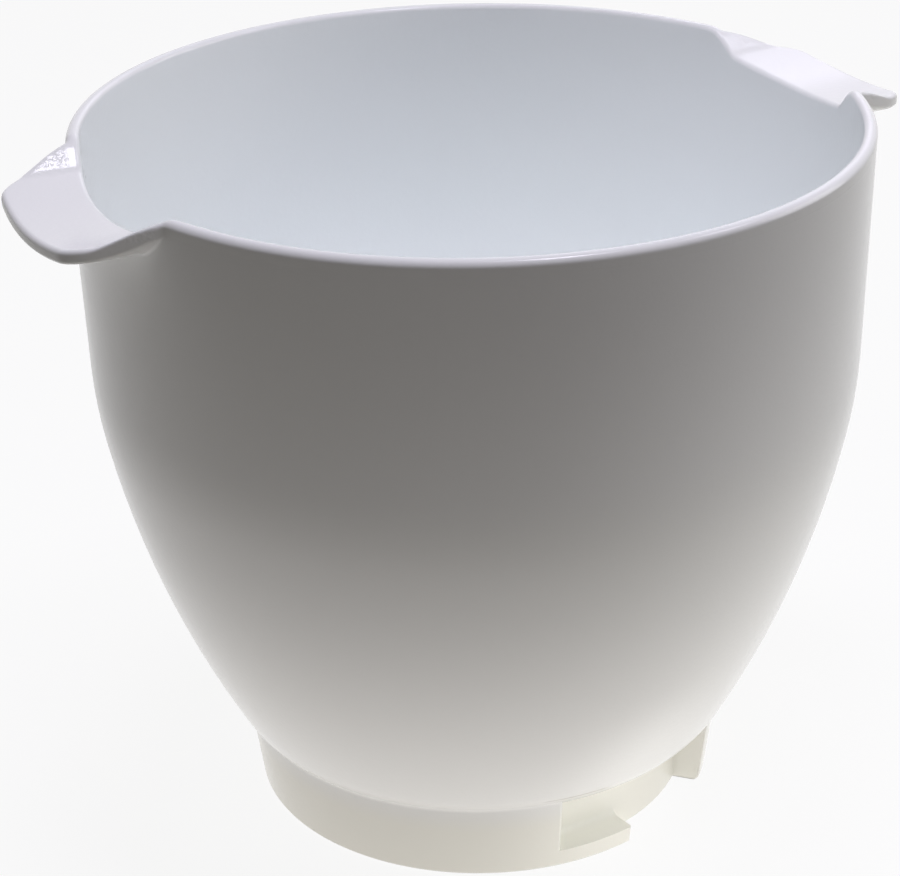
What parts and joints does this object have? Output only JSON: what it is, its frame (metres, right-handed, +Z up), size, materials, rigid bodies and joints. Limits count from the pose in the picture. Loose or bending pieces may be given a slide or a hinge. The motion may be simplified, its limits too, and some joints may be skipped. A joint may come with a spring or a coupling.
{
  "type": "stand mixer bowl",
  "caption": "One-piece plastic mixing bowl for a stand mixer, with pouring ears at the rim and a bayonet foot ring.",
  "frame": {"origin": "bottom centre: on the table, at the middle of the foot ring", "axes": "+Z up along the bowl's axis, X through the middles of the two ears"},
  "size_m": [0.242, 0.2078, 0.1925],
  "materials": {
    "mixer_bowl": "white moulded plastic, soft gloss, slightly translucent"
  },
  "bodies": {
    "root": {"mixer_bowl": "mixer_bowl"}
  },
  "joints": []
}
